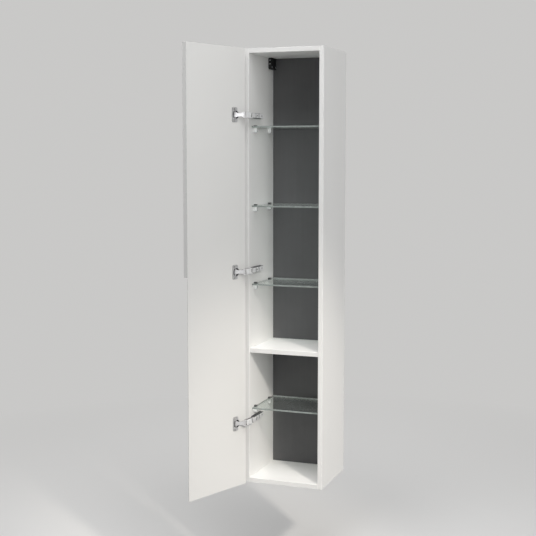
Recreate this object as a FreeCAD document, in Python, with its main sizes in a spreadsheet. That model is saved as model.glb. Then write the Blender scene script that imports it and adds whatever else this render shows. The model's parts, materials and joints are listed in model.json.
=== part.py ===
import FreeCAD, Part
import Sketcher
import math
import os
import re

# Tall wall-hung bathroom cabinet, shown with its door open.
# Row frame: origin on the wall plane, at the middle of the cabinet's bottom rear edge.
# +X runs to the right as seen from the front, +Y into the wall, +Z up. Millimetres.

Vector = FreeCAD.Vector
doc = FreeCAD.newDocument("tall_cabinet")
finished = []


# ---------------------------------------------------------------- driving dimensions

driving = [
    ("cabinet_width", 330, "outside width"),
    ("cabinet_height", 1760, "outside height"),
    ("cabinet_depth", 305, "wall to front edge of the carcass"),
    ("board", 18, "carcass board thickness"),
    ("edge_round", 0.8, "rounding of the edge banding"),
    ("back_thickness", 6, "back panel thickness"),
    ("back_inset", 17, "rear face of the back panel to the wall"),
    ("groove_depth", 6, "groove that holds the back panel"),
    ("groove_slack", 0.2, "clearance of the back panel in its groove"),
    ("fixed_shelf_top", 557, "height of the fixed shelf's upper face"),
    ("fixed_shelf_setback", 5, "fixed shelf behind the carcass front"),
    ("shelf_rear_gap", 0.3, "fixed shelf to back panel"),
    ("glass_thickness", 6, "glass shelf thickness"),
    ("glass_setback", 25, "glass shelf front behind the carcass front"),
    ("glass_side_gap", 2.5, "glass edge to side panel"),
    ("glass_rear_gap", 3, "glass edge to back panel"),
    ("glass_arris", 0.6, "ground arris on the glass edges"),
    ("glass_below_hinge_1", 48, "underside of the top glass shelf, below the top hinge"),
    ("glass_height_2", 1131, "underside of the second glass shelf"),
    ("glass_below_hinge_2", 63, "underside of the third glass shelf, below the middle hinge"),
    ("glass_above_hinge_3", 40, "underside of the lowest glass shelf, above the bottom hinge"),
    ("support_front", 60, "front shelf support, from the carcass front"),
    ("support_rear", 225, "rear shelf support, from the carcass front"),
    ("support_width", 14, "shelf support, front to back"),
    ("support_reach", 13, "shelf support, out from the side panel"),
    ("support_block", 16, "support block below the glass"),
    ("support_web", 2, "support web between the glass edge and the side"),
    ("support_lip", 3.5, "thickness of the lip above the glass"),
    ("lip_reach", 11, "lip, out from the side panel"),
    ("lip_gap", 0.3, "glass to lip"),
    ("pad_thickness", 0.8, "soft pad under the glass"),
    ("pad_margin", 0.6, "edge of the pad to the edge of the block"),
    ("pin_radius", 2.4, "support pin radius"),
    ("pin_slack", 0.1, "radial clearance of the support pin"),
    ("pin_depth", 8, "support pin in the side panel"),
    ("pin_drop", 8, "support pin axis below the glass"),
    ("clamp_radius", 2, "clamp screw radius"),
    ("clamp_head_radius", 3.6, "clamp screw head radius"),
    ("clamp_head", 3, "clamp screw head height"),
    ("clamp_in", 7, "clamp screw axis, from the side panel"),
    ("dowel_radius", 4, "wooden dowel radius"),
    ("dowel_length", 30, "wooden dowel length"),
    ("dowel_in_side", 11, "dowel length inside the side panel"),
    ("end_gap", 1, "free space at the end of a bore"),
    ("dowel_front", 45, "front dowel, from the carcass front"),
    ("dowel_rear", 235, "rear dowel, from the carcass front"),
    ("joint_slack", 0.05, "radial clearance of dowels, bolts and screws"),
    ("cam_front", 77, "front cam fitting, from the carcass front"),
    ("cam_rear", 203, "rear cam fitting, from the carcass front"),
    ("cam_radius", 7.4, "cam housing radius"),
    ("cam_height", 12.5, "cam housing height"),
    ("cam_slack", 0.1, "radial clearance of the cam housing"),
    ("cam_in", 24, "cam axis, from the end of the board"),
    ("cam_bolt_radius", 3.4, "cam bolt radius"),
    ("cam_bolt_in_side", 11, "cam bolt length in the side panel"),
    ("cam_bolt_tip", 1.5, "bolt end to cam axis"),
    ("cam_slot", 0.2, "cam slot wider than its bolt, each side"),
    ("rail_side_gap", 2, "end of the wall rail to the side panel"),
    ("rail_gauge", 2, "wall rail sheet thickness"),
    ("rail_leg", 30, "height of the leg on the wall"),
    ("rail_step", 8, "rail depth from the wall"),
    ("rail_lip", 12, "height of the standing lip"),
    ("rail_hole_in", 35, "wall screw hole, from the side panel's inner face"),
    ("rail_hole_radius", 3.25, "wall screw hole radius"),
    ("rail_hole_height", 13, "wall screw hole above the rail's lower edge"),
    ("hanger_height", 47, "hanger housing height"),
    ("hanger_depth", 59, "hanger housing, front to back"),
    ("hanger_width", 14, "hanger housing, out from the side panel"),
    ("hanger_chamfer", 5, "chamfer of the housing's front corners"),
    ("hook_gauge", 3, "hook plate thickness"),
    ("hook_tall", 9, "height of the hook's tongue"),
    ("hook_claw", 3.2, "front to back thickness of the hook's claw"),
    ("hook_notch", 1, "back panel clear of the hook"),
    ("hook_side", 3, "hook to the side panel"),
    ("hook_drop", 20, "hook seat below the cabinet's top panel"),
    ("hook_root", 34, "hook length inside the housing"),
    ("hook_finger", 9, "hook finger below its seat"),
    ("hook_slack", 0.25, "clearance of the hook in its channel"),
    ("hook_wall_gap", 1.2, "hook finger to the wall"),
    ("adjuster_radius", 3, "hanger adjusting screw radius"),
    ("adjuster_length", 12, "hanger adjusting screw length"),
    ("adjuster_recess", 1, "adjusting screw behind the housing's front"),
    ("adjuster_upper", 10, "upper adjusting screw below the cabinet's top panel"),
    ("adjuster_lower", 25, "lower adjusting screw below the cabinet's top panel"),
    ("hanger_screw_radius", 2.3, "hanger fixing screw radius"),
    ("hanger_screw_head", 4.2, "hanger fixing screw head radius"),
    ("hanger_screw_sink", 2.4, "hanger fixing screw head height"),
    ("hanger_screw_bite", 12, "hanger fixing screw in the side panel"),
    ("hanger_screw_edge", 9, "fixing screw to the housing's edges"),
    ("door_thickness", 18, "door panel thickness"),
    ("side_reveal", 1.5, "closed door inside the carcass side"),
    ("end_reveal", 1, "door inside the carcass top and bottom"),
    ("door_gap", 2, "closed door to carcass front"),
    ("edge_flat", 2, "square part of the door's free edge"),
    ("handle_length", 884, "grip strip, down from the top of the door"),
    ("handle_wall", 2.2, "grip strip wall"),
    ("handle_foot", 1.13, "grip strip foot, measured along X and Y"),
    ("handle_foot_end", 14, "how far the foot follows the bevel"),
    ("handle_proud", 2, "grip strip in front of the door's face"),
    ("handle_lip", 5, "width of the lip that fingers pull"),
    ("handle_lip_wall", 1.8, "thickness of the lip"),
    ("rib_half", 0.8, "half width of the strip's rib, along X and Y"),
    ("rib_depth", 4, "depth of the strip's rib, along X and Y"),
    ("rib_slack", 0.05, "clearance of the rib in its slot"),
    ("open_angle", 110.5, "door opening angle in degrees"),
    ("pole_out", 3.05, "door's turning axis outside its hinge edge"),
    ("pole_front", 16, "door's turning axis in front of its inner face"),
    ("hinge_top_drop", 263, "top hinge below the cabinet's top"),
    ("hinge_height_2", 876, "middle hinge above the cabinet's bottom"),
    ("hinge_height_3", 260, "bottom hinge above the cabinet's bottom"),
    ("cup_centre", 56, "cup axis, from the door's hinge edge"),
    ("cup_radius", 17.4, "cup radius"),
    ("cup_slack", 0.1, "radial clearance of the cup in the door"),
    ("cup_depth", 11.4, "cup depth"),
    ("cup_wall", 1.2, "cup wall"),
    ("flange_thickness", 1.3, "cup flange thickness"),
    ("flange_height", 58, "cup flange height"),
    ("flange_near", 10, "flange from the cup axis towards the hinge edge"),
    ("flange_far", 20, "flange from the cup axis towards the free edge"),
    ("flange_corner", 6, "flange corner radius"),
    ("rim_radius", 18.6, "cup rim radius"),
    ("cup_screw_in", 9.5, "cup screw, from the cup axis"),
    ("cup_screw_spacing", 45, "distance between the two cup screws"),
    ("cup_screw_radius", 1.7, "cup screw radius"),
    ("cup_screw_head", 3.6, "cup screw head radius"),
    ("cup_screw_rise", 1.5, "cup screw head height"),
    ("cup_screw_length", 12, "cup screw length"),
    ("cheek_half", 4, "half width of the pin cheeks in the cup"),
    ("cheek_top", 1.5, "cheeks below the door's inner face"),
    ("cheek_outer", 16.5, "cheeks, from the middle of the cup"),
    ("cup_pin_half", 14, "half length of the cup pin"),
    ("cup_pivot_depth", 5, "cup pin below the door's inner face"),
    ("cup_pivot_in", 56, "cup pin, from the door's hinge edge"),
    ("hinge_pin_radius", 2, "radius of the hinge pins"),
    ("pivot_slack", 0.08, "radial clearance of a turning pin"),
    ("seat_slack", 0.02, "radial clearance of a fixed pin"),
    ("arm_pivot_out", 12.5, "arm pin, from the side panel"),
    ("arm_pivot_in", 6, "arm pin, behind the carcass front"),
    ("arm_height", 16, "hinge arm, out from the side panel"),
    ("arm_half", 9.1, "half width of the hinge arm"),
    ("arm_wall", 1.5, "hinge arm sheet thickness"),
    ("arm_bend", 1.2, "bend radius of the hinge arm"),
    ("arm_throat", 6.5, "underside of the arm's nose, from the side panel"),
    ("arm_length", 122, "rear end of the hinge arm, from the carcass front"),
    ("arm_nose", 0.5, "front end of the hinge arm, from the carcass front"),
    ("plate_start", 20, "front end of the mounting plate"),
    ("plate_end", 126, "rear end of the mounting plate"),
    ("plate_base", 3, "mounting plate base thickness"),
    ("plate_half", 11, "half width of the mounting plate"),
    ("plate_corner", 4, "corner chamfer of the mounting plate"),
    ("plate_rail", 6, "height of the rail on the plate"),
    ("plate_rail_half", 7, "half width of the rail"),
    ("plate_rail_inset", 5, "end of the rail to the end of the plate"),
    ("plate_screw_front", 37, "front plate screw, from the carcass front"),
    ("plate_screw_rear", 69, "rear plate screw, from the carcass front"),
    ("plate_screw_radius", 3, "plate screw radius"),
    ("plate_screw_head", 4.6, "plate screw head radius"),
    ("plate_screw_rise", 2, "plate screw head height"),
    ("plate_screw_bite", 13, "plate screw in the side panel"),
    ("side_adjuster_in", 50, "side adjusting screw, from the carcass front"),
    ("depth_adjuster_in", 104, "depth adjusting screw, from the carcass front"),
    ("hinge_adjuster_radius", 2.4, "hinge adjusting screw radius"),
    ("hinge_adjuster_head", 3.7, "hinge adjusting screw head radius"),
    ("hinge_adjuster_rise", 1.2, "hinge adjusting screw head height"),
    ("link_plate", 2, "outer link plate thickness"),
    ("link_gap", 0.4, "outer link to hinge arm"),
    ("link_eye", 4.5, "outer link eye radius"),
    ("link_web_start", 14, "outer link web, from the arm pin"),
    ("link_web_end", 8, "outer link web, from the knee pin"),
    ("link_web", 1.5, "outer link web thickness"),
    ("bar_half", 2.2, "half thickness of the inner link"),
    ("bar_wide", 9.2, "half width of the inner link at its eyes"),
    ("bar_waist", 6.8, "half width of the inner link at its waist"),
    ("bar_eye", 3.5, "inner link eye radius"),
    ("knee_eye", 3.8, "inner link eye radius at the knee"),
    ("bar_shoulder", 8, "full width of the inner link, from each pin"),
    ("bar_taper", 5, "length of the taper to the waist"),
]

# Sizes worked out from the driving ones.
derived = [
    ("half_width", "cabinet_width / 2"),
    ("front_y", "-cabinet_depth"),
    ("half_inner", "cabinet_width / 2 - board"),
    ("back_face", "back_inset + back_thickness"),
    ("inner_depth", "cabinet_depth - back_face"),
    ("groove_front", "inner_depth - groove_slack"),
    ("groove_rear", "cabinet_depth - back_inset + groove_slack"),
    ("ceiling", "cabinet_height - board"),
    ("fixed_shelf_depth", "inner_depth - fixed_shelf_setback - shelf_rear_gap"),
    ("glass_depth", "inner_depth - glass_setback - glass_rear_gap"),
    ("hook_seat", "ceiling - hook_drop"),
    ("rail_length", "2 * (half_inner - rail_side_gap)"),
    ("rail_hole_x", "half_inner - rail_hole_in"),
    ("rail_bottom", "hook_seat - rail_lip - rail_leg + rail_gauge"),
    ("door_width", "cabinet_width - 2 * side_reveal"),
    ("edge_bevel", "door_thickness - edge_flat"),
    ("door_height", "cabinet_height - 2 * end_reveal"),
    ("hinge_height_1", "cabinet_height - hinge_top_drop"),
    ("glass_height_1", "hinge_height_1 - glass_below_hinge_1"),
    ("glass_height_3", "hinge_height_2 - glass_below_hinge_2"),
    ("glass_height_4", "hinge_height_3 + glass_above_hinge_3"),
    ("pole_x", "side_reveal - pole_out - half_width"),
    ("pole_y", "front_y - door_gap - pole_front"),
    ("door_x", "pole_x + pole_out * cos(open_angle) + pole_front * sin(open_angle)"),
    ("door_y", "pole_y - pole_out * sin(open_angle) + pole_front * cos(open_angle)"),
    ("long_x", "cup_pivot_in + pole_out"),
    ("long_y", "pole_front - cup_pivot_depth"),
    ("link_reach", "sqrt(long_x ^ 2 + long_y ^ 2)"),
    ("link_turn", "atan2(long_y; long_x) - open_angle * 1deg"),
    ("arm_pin_x", "arm_pivot_out - half_inner"),
    ("arm_pin_y", "front_y + arm_pivot_in"),
    ("short_x", "arm_pin_x - pole_x"),
    ("short_y", "arm_pin_y - pole_y"),
    ("bar_reach", "sqrt(short_x ^ 2 + short_y ^ 2)"),
    ("bar_turn", "atan2(short_y; short_x)"),
    ("cup_pin_x", "pole_x + link_reach * cos(link_turn)"),
    ("cup_pin_y", "pole_y + link_reach * sin(link_turn)"),
    ("link_inner", "arm_half + link_gap"),
    ("link_outer", "link_inner + link_plate"),
    ("knee_x", "cup_pin_x + short_x"),
    ("knee_y", "cup_pin_y + short_y"),
    ("plate_top", "plate_base + plate_rail"),
    ("foot_join", "handle_wall + handle_foot"),
]


# Every name in a formula is looked up here, so that it names its sheet.
owner = {row[0]: "Sizes." + row[0] for row in driving}
owner.update({row[0]: "Worked." + row[0] for row in derived})


def qualified(text):
    return re.sub(r"[a-z][a-z0-9_]*", lambda word: owner.get(word.group(0), word.group(0)), text)


sizes_sheet = doc.addObject("Spreadsheet::Sheet", "Sizes")
for row_number, (alias, value, note) in enumerate(driving, start=1):
    sizes_sheet.set("A%d" % row_number, note)
    sizes_sheet.set("B%d" % row_number, str(value))
    sizes_sheet.setAlias("B%d" % row_number, alias)

worked_sheet = doc.addObject("Spreadsheet::Sheet", "Worked")
for row_number, (alias, formula) in enumerate(derived, start=1):
    worked_sheet.set("A%d" % row_number, alias)
    worked_sheet.set("B%d" % row_number, "=" + qualified(formula).replace("Worked.", ""))
    worked_sheet.setAlias("B%d" % row_number, alias)
doc.recompute()


# ---------------------------------------------------------------- drawing helpers

def bind(thing, target, formula):
    thing.setExpression(target, qualified(formula))


def place(thing, x="0", y="0", z="0", turn="0"):
    """Stand a piece at x, y, z, turned about the vertical by a number of degrees."""
    turned = "rotation(vector(0; 0; 1); %s)" % turn
    bind(thing, "Placement", "placement(vector(%s; %s; %s); %s)" % (x, y, z, turned))


def finish(thing, label):
    thing.Label = label
    finished.append(thing)
    return thing


def new_sketch(body, plane, offset="0"):
    sketch = body.newObject("Sketcher::SketchObject", body.Name + "_sketch")
    datum = [feature for feature in body.Origin.OriginFeatures if feature.Role == plane][0]
    sketch.AttachmentSupport = [(datum, "")]
    sketch.MapMode = "FlatFace"
    bind(sketch, "AttachmentOffset.Base.z", offset)
    return sketch


def fix_point(sketch, edge, end, start, x, y):
    """Hold one end of a sketch edge at x, y, both of them formulas."""
    for kind, value, formula in (("DistanceX", start.x, x), ("DistanceY", start.y, y)):
        index = sketch.addConstraint(Sketcher.Constraint(kind, -1, 1, edge, end, value))
        bind(sketch, "Constraints[%d]" % index, formula)


def draw_polygon(sketch, corners):
    count = len(corners)
    turns = [2 * math.pi * number / count for number in range(count)]
    guesses = [Vector(10 * math.cos(turn), 10 * math.sin(turn), 0) for turn in turns]
    edges = []
    for number in range(count):
        line = Part.LineSegment(guesses[number], guesses[(number + 1) % count])
        edges.append(sketch.addGeometry(line, False))
    for number in range(count):
        following = edges[(number + 1) % count]
        sketch.addConstraint(Sketcher.Constraint("Coincident", edges[number], 2, following, 1))
    for edge, guess, corner in zip(edges, guesses, corners):
        fix_point(sketch, edge, 1, guess, corner[0], corner[1])


def draw_rectangle(sketch, low_x, low_y, high_x, high_y):
    draw_polygon(sketch, [(low_x, low_y), (high_x, low_y), (high_x, high_y), (low_x, high_y)])


def draw_circle(sketch, x, y, radius):
    guess = Vector(1, 1, 0)
    edge = sketch.addGeometry(Part.Circle(guess, Vector(0, 0, 1), 1.0), False)
    fix_point(sketch, edge, 3, guess, x, y)
    index = sketch.addConstraint(Sketcher.Constraint("Radius", edge, 1.0))
    bind(sketch, "Constraints[%d]" % index, radius)


def new_body(name):
    return doc.addObject("PartDesign::Body", name)


def pad(body, sketch, length, backwards=False, both_ways=False):
    feature = body.newObject("PartDesign::Pad", body.Name + "_pad")
    feature.Profile = sketch
    bind(feature, "Length", length)
    feature.Reversed = backwards
    if both_ways:
        feature.SideType = "Symmetric"
    return feature


def pocket(body, sketch, depth, backwards=False):
    feature = body.newObject("PartDesign::Pocket", body.Name + "_pocket")
    feature.Profile = sketch
    bind(feature, "Length", depth)
    feature.Reversed = backwards
    return feature


def symmetric_pocket(body, sketch, length):
    feature = pocket(body, sketch, length)
    feature.SideType = "Symmetric"
    return feature


def bore(body, plane, circles, depth, backwards=False, offset="0"):
    """One pocket of round holes; each circle is x, y, radius."""
    sketch = new_sketch(body, plane, offset)
    for x, y, radius in circles:
        draw_circle(sketch, x, y, radius)
    return pocket(body, sketch, depth, backwards)


def mirror(body, feature, plane):
    datum = [item for item in body.Origin.OriginFeatures if item.Role == plane][0]
    copy = body.newObject("PartDesign::Mirrored", body.Name + "_mirror")
    copy.Originals = [feature]
    copy.MirrorPlane = (datum, [""])
    body.Tip = copy
    return copy


def round_edges(body, radius, wanted):
    """Fillet the edges of a body that the test picks out."""
    doc.recompute()
    base = body.Tip
    edges = base.Shape.Edges
    names = ["Edge%d" % number for number, edge in enumerate(edges, start=1) if wanted(edge)]
    fillet = body.newObject("PartDesign::Fillet", body.Name + "_fillet")
    fillet.Base = (base, names)
    bind(fillet, "Radius", radius)
    return fillet


def box(name, corner, size):
    block = doc.addObject("Part::Box", name)
    for target, formula in zip(("Length", "Width", "Height"), size):
        bind(block, target, formula)
    place(block, *corner)
    return block


along = {
    "X": FreeCAD.Rotation(Vector(0, 1, 0), 90),
    "Y": FreeCAD.Rotation(Vector(1, 0, 0), -90),
    "Z": FreeCAD.Rotation(),
}


def rod(name, radius, length, start, axis):
    """A cylinder from its start point towards +X, +Y or +Z."""
    cylinder = doc.addObject("Part::Cylinder", name)
    cylinder.Placement = FreeCAD.Placement(Vector(), along[axis])
    bind(cylinder, "Radius", radius)
    bind(cylinder, "Height", length)
    for letter, formula in zip("xyz", start):
        bind(cylinder, "Placement.Base." + letter, formula)
    return cylinder


def fuse(name, pieces):
    whole = doc.addObject("Part::MultiFuse", name)
    whole.Shapes = pieces
    return whole


def cut(name, base, tools):
    whole = doc.addObject("Part::Cut", name)
    whole.Base = base
    whole.Tool = tools[0] if len(tools) == 1 else fuse(name + "_tools", tools)
    return whole


def group(label, pieces):
    """Like pieces that share one node, each a solid of its own."""
    whole = doc.addObject("Part::Compound", label)
    whole.Links = pieces
    return finish(whole, label)


def spans(edge, direction):
    """The length of an edge along one direction: 0 for X, 1 for Y, 2 for Z."""
    ends = [vertex.Point[direction] for vertex in edge.Vertexes]
    return max(ends) - min(ends) if ends else 0


def all_at(edge, direction, value):
    return all(abs(vertex.Point[direction] - value) < 0.01 for vertex in edge.Vertexes)


def inward(on_left, near, far):
    """A range measured from a side panel's inner face: its low X and its width."""
    low = "-half_inner + %s" % near if on_left else "half_inner - (%s)" % far
    return low, "%s - (%s)" % (far, near)


glass_heights = ["glass_height_1", "glass_height_2", "glass_height_3", "glass_height_4"]
hinge_heights = ["hinge_height_1", "hinge_height_2", "hinge_height_3"]
joint_heights = ["board / 2", "fixed_shelf_top - board / 2", "ceiling + board / 2"]


# ---------------------------------------------------------------- carcass

def side_panel(label, on_left):
    """Local origin: inner face, front edge, bottom. Pockets run away from the inside."""
    body = new_body(label)
    outline = new_sketch(body, "YZ_Plane")
    draw_rectangle(outline, "0", "0", "cabinet_depth", "cabinet_height")
    pad(body, outline, "board", backwards=on_left)
    round_edges(body, "edge_round", lambda edge: all_at(edge, 1, 0) and spans(edge, 2) > 1)
    outward = not on_left
    groove = new_sketch(body, "YZ_Plane")
    low = "board - groove_depth - groove_slack"
    high = "ceiling + groove_depth + groove_slack"
    draw_rectangle(groove, "groove_front", low, "groove_rear", high)
    pocket(body, groove, "groove_depth", outward)
    pins = []
    for height in glass_heights:
        for depth in ("support_front", "support_rear"):
            pins.append((depth, height + " - pin_drop", "pin_radius + pin_slack"))
    bore(body, "YZ_Plane", pins, "pin_depth + end_gap", outward)
    spots = [(y, z) for z in joint_heights for y in ("dowel_front", "dowel_rear")]
    dowels = [(y, z, "dowel_radius + joint_slack") for y, z in spots]
    bore(body, "YZ_Plane", dowels, "dowel_in_side + end_gap", outward)
    spots = [(y, z) for z in joint_heights for y in ("cam_front", "cam_rear")]
    bolts = [(y, z, "cam_bolt_radius + joint_slack") for y, z in spots]
    bore(body, "YZ_Plane", bolts, "cam_bolt_in_side + end_gap", outward)
    low_row = "ceiling - hanger_height + hanger_screw_edge"
    fixings = []
    for depth in ("inner_depth - hanger_depth + hanger_screw_edge", "inner_depth - hanger_screw_edge"):
        fixings.append((depth, low_row, "hanger_screw_radius + joint_slack"))
    bore(body, "YZ_Plane", fixings, "hanger_screw_bite + end_gap", outward)
    if on_left:
        screws = []
        for height in hinge_heights:
            for depth in ("plate_screw_front", "plate_screw_rear"):
                screws.append((depth, height, "plate_screw_radius + joint_slack"))
        bore(body, "YZ_Plane", screws, "plate_screw_bite + end_gap", outward)
    place(body, "-half_inner" if on_left else "half_inner", "front_y")
    return finish(body, label)


def cross_board(label, depth, grows_up, height, setback):
    """Local origin: middle of the front edge of the face that shows inside the cabinet."""
    body = new_body(label)
    outline = new_sketch(body, "XY_Plane")
    draw_rectangle(outline, "-half_inner", "0", "half_inner", depth)
    pad(body, outline, "board", backwards=not grows_up)
    round_edges(body, "edge_round", lambda edge: all_at(edge, 1, 0) and spans(edge, 0) > 1)
    if setback == "0":
        groove = new_sketch(body, "XY_Plane")
        draw_rectangle(groove, "-half_inner", "groove_front", "half_inner", "groove_rear")
        pocket(body, groove, "groove_depth", backwards=grows_up)
    far_face = "board" if grows_up else "-board"
    middle = "board / 2" if grows_up else "-board / 2"
    cams = []
    for across in ("half_inner - cam_in", "cam_in - half_inner"):
        for along_y in ("cam_front - " + setback, "cam_rear - " + setback):
            cams.append((across, along_y, "cam_radius + cam_slack"))
    bore(body, "XY_Plane", cams, "cam_height", not grows_up, far_face)
    spots = [y + " - " + setback for y in ("dowel_front", "dowel_rear")]
    dowels = [(y, middle, "dowel_radius + joint_slack") for y in spots]
    deep = "dowel_length - dowel_in_side + end_gap"
    mirror(body, bore(body, "YZ_Plane", dowels, deep, False, "half_inner"), "YZ_Plane")
    spots = [y + " - " + setback for y in ("cam_front", "cam_rear")]
    bolts = [(y, middle, "cam_bolt_radius + joint_slack") for y in spots]
    mirror(body, bore(body, "YZ_Plane", bolts, "cam_in", False, "half_inner"), "YZ_Plane")
    place(body, "0", "front_y + " + setback, height)
    return finish(body, label)


def back_board():
    """Local origin: middle of the inner face, at the height of the cabinet's bottom."""
    body = new_body("back_panel")
    reach = "half_inner + groove_depth - groove_slack"
    outline = new_sketch(body, "XZ_Plane")
    low = "board - groove_depth + groove_slack"
    draw_rectangle(outline, "-(%s)" % reach, low, reach, "ceiling + groove_depth - groove_slack")
    pad(body, outline, "back_thickness", backwards=True)
    notches = new_sketch(body, "XZ_Plane")
    near = "half_inner - hook_side + hook_notch"
    far = "half_inner - hook_side - hook_gauge - hook_notch"
    floor = "hook_seat - hook_finger - hook_notch"
    roof = "hook_seat + hook_tall + hook_notch"
    draw_rectangle(notches, far, floor, near, roof)
    draw_rectangle(notches, "-(%s)" % near, floor, "-(%s)" % far, roof)
    pocket(body, notches, "back_thickness")
    place(body, "0", "-back_face")
    return finish(body, "back_panel")


def glass_shelf(number, height):
    body = new_body("glass_shelf_%d" % number)
    outline = new_sketch(body, "XY_Plane")
    reach = "half_inner - glass_side_gap"
    draw_rectangle(outline, "-(%s)" % reach, "0", reach, "glass_depth")
    slab = pad(body, outline, "glass_thickness")
    doc.recompute()
    arris = body.newObject("PartDesign::Chamfer", body.Name + "_arris")
    arris.Base = (slab, ["Edge%d" % (index + 1) for index in range(len(slab.Shape.Edges))])
    bind(arris, "Size", "glass_arris")
    place(body, "0", "front_y + glass_setback", height)
    return finish(body, "glass_shelf_%d" % number)


def joinery():
    """Dowels, cam housings and cam bolts at the six ends of the three cross boards."""
    dowels = []
    cams = []
    bolts = []
    faces = ["0", "fixed_shelf_top - board", "cabinet_height - cam_height"]
    for height, face in zip(joint_heights, faces):
        for on_left in (True, False):
            low, width = inward(on_left, "(-dowel_in_side)", "dowel_length - dowel_in_side")
            for y in ("dowel_front", "dowel_rear"):
                start = (low, "front_y + " + y, height)
                dowels.append(rod("dowel", "dowel_radius", width, start, "X"))
            low, width = inward(on_left, "(-cam_bolt_in_side)", "cam_in - cam_bolt_tip")
            axis = "cam_in - half_inner" if on_left else "half_inner - cam_in"
            slot_low = inward(on_left, "0", "cam_in - cam_bolt_tip + cam_slot")[0]
            half_slot = "(cam_bolt_radius + cam_slot)"
            for y in ("cam_front", "cam_rear"):
                bolts.append(rod("cam_bolt", "cam_bolt_radius", width, (low, "front_y + " + y, height), "X"))
                housing = rod("cam", "cam_radius", "cam_height", (axis, "front_y + " + y, face), "Z")
                corner = (slot_low, "front_y + %s - %s" % (y, half_slot), "%s - %s" % (height, half_slot))
                size = ("cam_in - cam_bolt_tip + cam_slot", "2 * " + half_slot, "2 * " + half_slot)
                cams.append(cut("cam_housing", housing, [box("cam_slot_box", corner, size)]))
    group("dowels", dowels)
    group("cam_bolts", bolts)
    group("cam_housings", cams)


# ---------------------------------------------------------------- wall fixing

def wall_rail():
    """Local origin: middle of the rail's lower edge, on the wall."""
    body = new_body("wall_rail")
    profile = new_sketch(body, "YZ_Plane")
    lip_top = "rail_leg - rail_gauge + rail_lip"
    corners = [
        ("0", "0"),
        ("0", "rail_leg"),
        ("rail_gauge - rail_step", "rail_leg"),
        ("rail_gauge - rail_step", lip_top),
        ("-rail_step", lip_top),
        ("-rail_step", "rail_leg - rail_gauge"),
        ("-rail_gauge", "rail_leg - rail_gauge"),
        ("-rail_gauge", "0"),
    ]
    draw_polygon(profile, corners)
    pad(body, profile, "rail_length", both_ways=True)
    holes = [(x, "rail_hole_height", "rail_hole_radius") for x in ("-rail_hole_x", "rail_hole_x")]
    bore(body, "XZ_Plane", holes, "rail_gauge", True)
    place(body, "0", "0", "rail_bottom")
    return finish(body, "wall_rail")


def hanger(label, on_left):
    """Local origin: side panel's inner face, front of the housing, cabinet's ceiling."""
    body = new_body(label)
    outline = new_sketch(body, "YZ_Plane")
    corners = [
        ("hanger_chamfer", "0"),
        ("hanger_depth", "0"),
        ("hanger_depth", "-hanger_height"),
        ("hanger_chamfer", "-hanger_height"),
        ("0", "hanger_chamfer - hanger_height"),
        ("0", "-hanger_chamfer"),
    ]
    draw_polygon(outline, corners)
    pad(body, outline, "hanger_width", backwards=not on_left)
    sign = "" if on_left else "-"
    channel = new_sketch(body, "YZ_Plane", sign + "(hook_side - hook_slack)")
    top = "hook_tall + hook_slack - hook_drop"
    draw_rectangle(channel, "hanger_depth - hook_root - hook_slack", "-hook_drop", "hanger_depth", top)
    pocket(body, channel, "hook_gauge + 2 * hook_slack", backwards=on_left)
    middle = sign + "hanger_width / 2"
    drops = ("adjuster_upper", "adjuster_lower")
    screws = [(middle, "-" + drop, "adjuster_radius + joint_slack") for drop in drops]
    bore(body, "XZ_Plane", screws, "adjuster_recess + adjuster_length")
    low_row = "hanger_screw_edge - hanger_height"
    depths = ("hanger_screw_edge", "hanger_depth - hanger_screw_edge")
    shanks = [(depth, low_row, "hanger_screw_radius + joint_slack") for depth in depths]
    bore(body, "YZ_Plane", shanks, "hanger_width", on_left)
    heads = [(depth, low_row, "hanger_screw_head + joint_slack") for depth in depths]
    bore(body, "YZ_Plane", heads, "hanger_screw_sink", not on_left, sign + "hanger_width")
    place(body, "-half_inner" if on_left else "half_inner", "-back_face - hanger_depth", "ceiling")
    return finish(body, label)


def hanger_hook(name, on_left):
    """Local origin: inner face of the back panel, at the height of the hook's seat."""
    body = new_body(name)
    outline = new_sketch(body, "YZ_Plane")
    tip = "back_face - hook_wall_gap"
    corners = [
        ("-hook_root", "0"),
        ("-hook_root", "hook_tall"),
        (tip, "hook_tall"),
        (tip, "-hook_finger"),
        (tip + " - hook_claw", "-hook_finger"),
        (tip + " - hook_claw", "0"),
    ]
    draw_polygon(outline, corners)
    pad(body, outline, "hook_gauge")
    place(body, inward(on_left, "hook_side", "hook_side + hook_gauge")[0], "-back_face", "hook_seat")
    return body


def hanger_screws():
    adjusters = []
    fixings = []
    for on_left in (True, False):
        middle = "-half_inner + hanger_width / 2" if on_left else "half_inner - hanger_width / 2"
        front = "-back_face - hanger_depth + adjuster_recess"
        for drop in ("adjuster_upper", "adjuster_lower"):
            start = (middle, front, "ceiling - " + drop)
            adjusters.append(rod("hanger_adjuster", "adjuster_radius", "adjuster_length", start, "Y"))
        low, length = inward(on_left, "(-hanger_screw_bite)", "hanger_width")
        head_low = inward(on_left, "hanger_width - hanger_screw_sink", "hanger_width")[0]
        height = "ceiling - hanger_height + hanger_screw_edge"
        for y in ("hanger_screw_edge - hanger_depth", "-hanger_screw_edge"):
            depth = "%s - back_face" % y
            shank = rod("hanger_shank", "hanger_screw_radius", length, (low, depth, height), "X")
            start = (head_low, depth, height)
            head = rod("hanger_head", "hanger_screw_head", "hanger_screw_sink", start, "X")
            fixings.append(fuse("hanger_screw", [shank, head]))
    group("hanger_adjusting_screws", adjusters)
    group("hanger_fixing_screws", fixings)


# ---------------------------------------------------------------- shelf supports

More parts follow.
